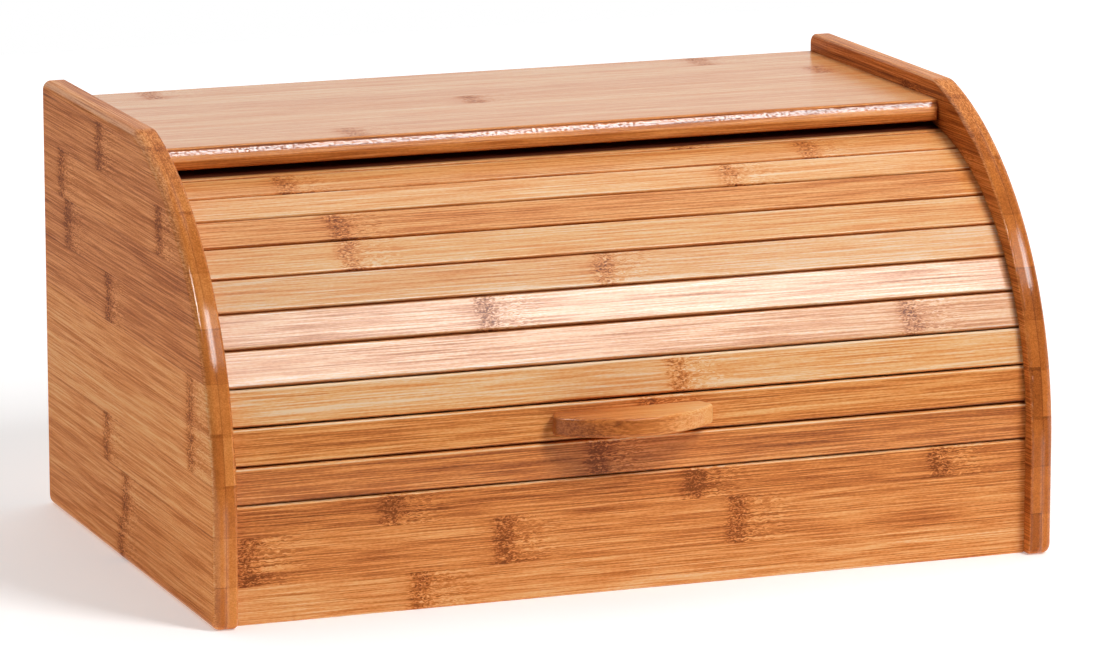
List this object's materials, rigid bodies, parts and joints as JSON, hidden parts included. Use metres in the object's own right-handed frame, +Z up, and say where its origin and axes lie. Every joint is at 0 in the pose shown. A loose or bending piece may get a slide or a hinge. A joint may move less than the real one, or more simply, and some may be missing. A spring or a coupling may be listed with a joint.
{
  "type": "bread box with roll top",
  "caption": "Wooden bread box: dowelled case with curved sides, fixed top and low front board, and a slatted roll top with a half-moon grip that slides up in curved grooves.",
  "frame": {"origin": "middle of the case's footprint (panels' front to back edges), on the underside of the base board, which is the surface that the box stands on", "axes": "+X along the width, to the right seen from the front; -Y out of the front, where the roll top and the handle are; +Z up"},
  "size_m": [0.4, 0.2729, 0.2025],
  "materials": {
    "side_panel": "satin lacquered laminated bamboo, grain front to back",
    "top_board": "satin lacquered laminated bamboo, grain along the width",
    "front_board": "satin lacquered bamboo glued from three strips",
    "inner_board": "lacquered laminated bamboo",
    "slat": "satin lacquered bamboo strip with eased edges",
    "handle": "satin lacquered bamboo with speckled end grain",
    "backing_canvas": "plain-weave cotton canvas, glued",
    "dowel": "plain beech dowel rod",
    "screw": "zinc-plated steel"
  },
  "bodies": {
    "case": {"left_side_panel": "side_panel", "right_side_panel": "side_panel", "top_board": "top_board", "front_board": "front_board", "base_board": "inner_board", "back_board": "inner_board", "top_board_dowels": "dowel", "front_board_dowels": "dowel", "base_board_dowels": "dowel", "base_front_dowels": "dowel"},
    "tambour": {"slat_01": "slat", "slat_02": "slat", "slat_03": "slat", "slat_04": "slat", "slat_05": "slat", "slat_06": "slat", "slat_07": "slat", "slat_08": "slat", "slat_09": "slat", "slat_10": "slat", "slat_11": "slat", "slat_12": "slat", "tambour_backing": "backing_canvas", "handle": "handle", "handle_screws": "screw"}
  },
  "joints": [
    {"name": "roll_top", "type": "hinge", "parent": "case", "child": "tambour", "pos_m": [0, 0.0025, 0.058], "axis": [-1, 0, 0], "range_deg": [0, 67]}
  ]
}
